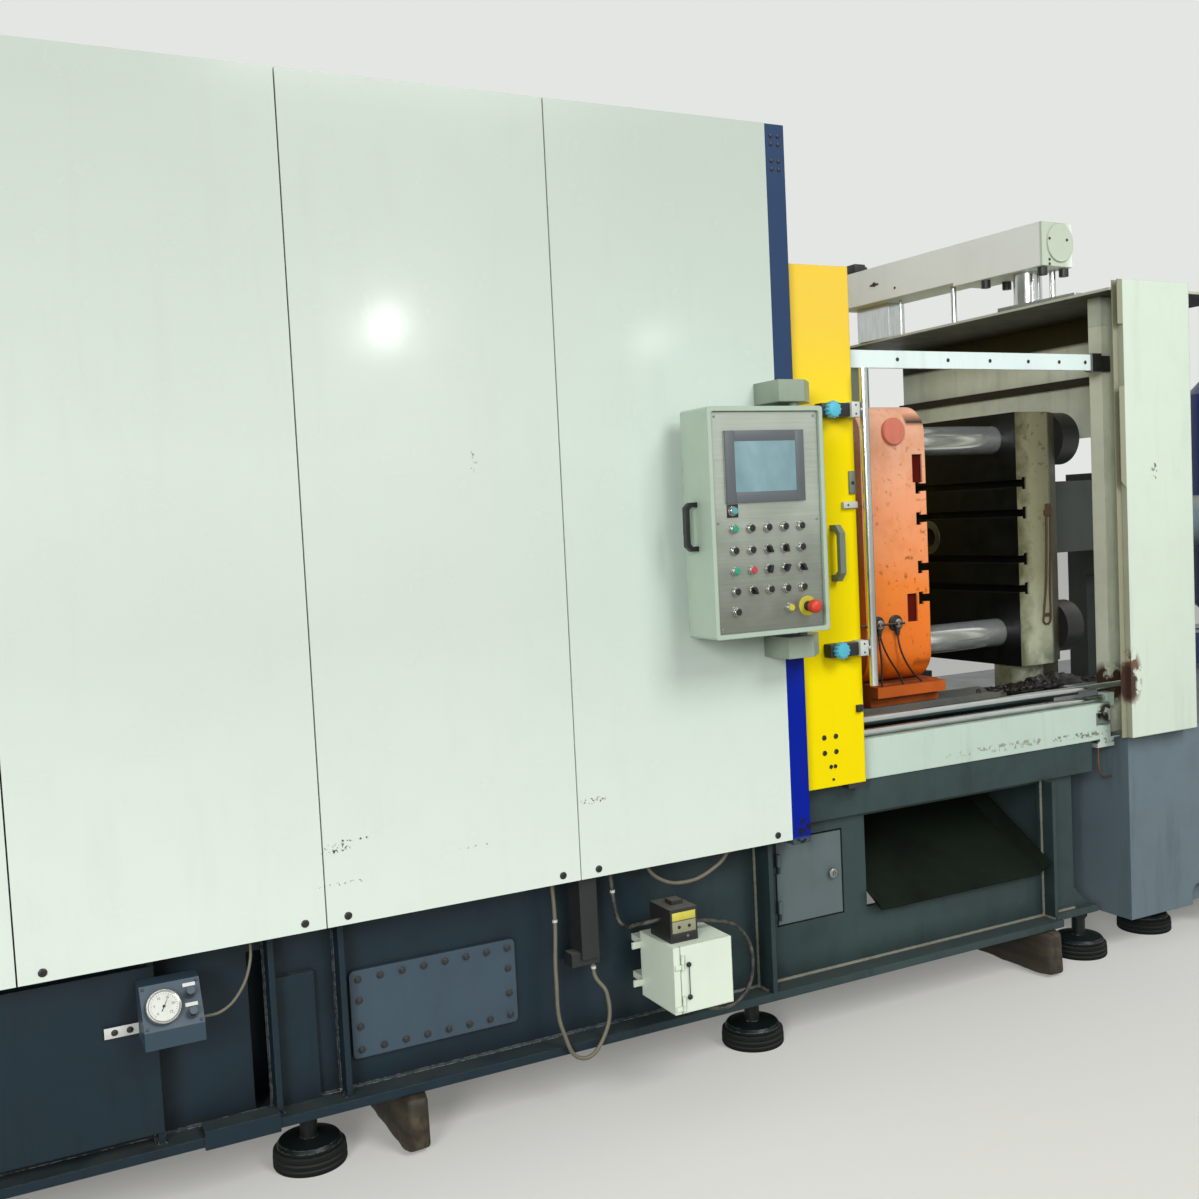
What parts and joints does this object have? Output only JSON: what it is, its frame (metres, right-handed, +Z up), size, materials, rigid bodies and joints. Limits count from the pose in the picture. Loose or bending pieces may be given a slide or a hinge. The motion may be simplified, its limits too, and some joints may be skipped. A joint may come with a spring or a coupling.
{
  "type": "cold-chamber die casting machine",
  "caption": "Cold-chamber die casting machine with guarded clamping unit, sliding safety door, platens on tie bars, control pendant and shot end.",
  "frame": {"origin": "middle of the machine's footprint, on the floor", "axes": "+X along the machine from the clamping end to the shot end, -Y towards the operator, +Z up"},
  "size_m": [7.16, 2.127, 2.88],
  "materials": {
    "base_paint": "dark blue-grey paint, dusty and chipped along its edges",
    "dark_steel": "blackened oily steel",
    "timber": "old oil-soaked timber",
    "ground_steel": "ground steel with dry grease",
    "chrome_bar": "hard chrome, ground",
    "orange_paint": "orange paint over cast skin, rubbed and oily",
    "cream_paint": "cream paint, oil stained",
    "cylinder_blue": "blue-grey paint",
    "bottle_blue": "dark blue paint",
    "panel_white": "glossy pale green-white powder coat",
    "frame_navy": "navy paint",
    "post_blue": "royal blue paint, muted towards the top",
    "door_yellow": "vivid yellow paint",
    "handle_grey": "grey paint",
    "clamp_blue": "sky-blue plastic and black blocks",
    "pendant_green": "grey-green textured paint",
    "brushed_panel": "brushed stainless steel round a dark screen",
    "button_black": "black plastic with coloured caps",
    "box_white": "off-white enamel",
    "cable_grey": "grey and black cable sheath"
  },
  "bodies": {
    "machine": {"base_front": "base_paint", "base_rear": "base_paint", "base_cross_frame": "base_paint", "base_deck": "base_paint", "discharge_tray": "dark_steel", "access_cover": "base_paint", "levelling_mounts": "dark_steel", "timber_bearers": "timber", "bed_rails": "base_paint", "wear_plates": "ground_steel", "end_platen": "base_paint", "tie_bars": "chrome_bar", "tie_bar_nuts": "dark_steel", "fixed_platen": "cream_paint", "shot_base": "base_paint", "shot_sleeve": "ground_steel", "plunger_rod": "ground_steel", "shot_frame": "base_paint", "shot_cylinder": "cylinder_blue", "accumulators": "bottle_blue", "front_panels": "panel_white", "front_frame": "frame_navy", "corner_post": "post_blue", "rear_panels": "panel_white", "rear_frame": "frame_navy", "end_panels": "panel_white", "roof_panels": "panel_white", "rear_door": "door_yellow", "door_top_bar": "panel_white", "door_sill_beam": "cream_paint", "door_rods": "chrome_bar", "right_column": "cream_paint", "inner_post": "cream_paint", "hood_roof": "cream_paint", "hood_wall": "cream_paint", "rear_column": "cream_paint", "lift_beam": "cream_paint", "lift_columns": "chrome_bar", "pendant_brackets": "handle_grey", "junction_box": "box_white", "transformer_box": "button_black", "gauge_box": "base_paint", "cable_duct": "button_black", "cables": "cable_grey"},
    "platen": {"moving_platen": "orange_paint", "platen_shoes": "orange_paint", "platen_fittings": "orange_paint", "platen_cables": "cable_grey"},
    "door": {"safety_door": "door_yellow", "door_carriages": "dark_steel", "door_handle": "handle_grey", "door_edge_tube": "chrome_bar", "tube_clamps": "clamp_blue"},
    "pendant": {"pendant_box": "pendant_green", "pendant_face": "brushed_panel", "pendant_controls": "button_black", "pendant_handle": "button_black"},
    "hatch": {"base_access_door": "base_paint"},
    "box_lid": {"junction_door": "box_white"}
  },
  "joints": [
    {"name": "platen_slide", "type": "slide", "parent": "machine", "child": "platen", "axis": [-1, 0, 0], "range_m": [0, 0.55]},
    {"name": "door_slide", "type": "slide", "parent": "machine", "child": "door", "axis": [1, 0, 0], "range_m": [0, 1.06]},
    {"name": "pendant_swing", "type": "hinge", "parent": "machine", "child": "pendant", "pos_m": [-0.626, -0.9165, 1.68], "axis": [0, 0, 1], "range_deg": [0, 90]},
    {"name": "hatch_hinge", "type": "hinge", "parent": "machine", "child": "hatch", "pos_m": [-0.604, -0.7035, 0.5], "axis": [0, 0, -1], "range_deg": [0, 90]},
    {"name": "box_lid_hinge", "type": "hinge", "parent": "machine", "child": "box_lid", "pos_m": [-1.127, -0.9715, 0.38], "axis": [0, 0, -1], "range_deg": [0, 110]}
  ]
}
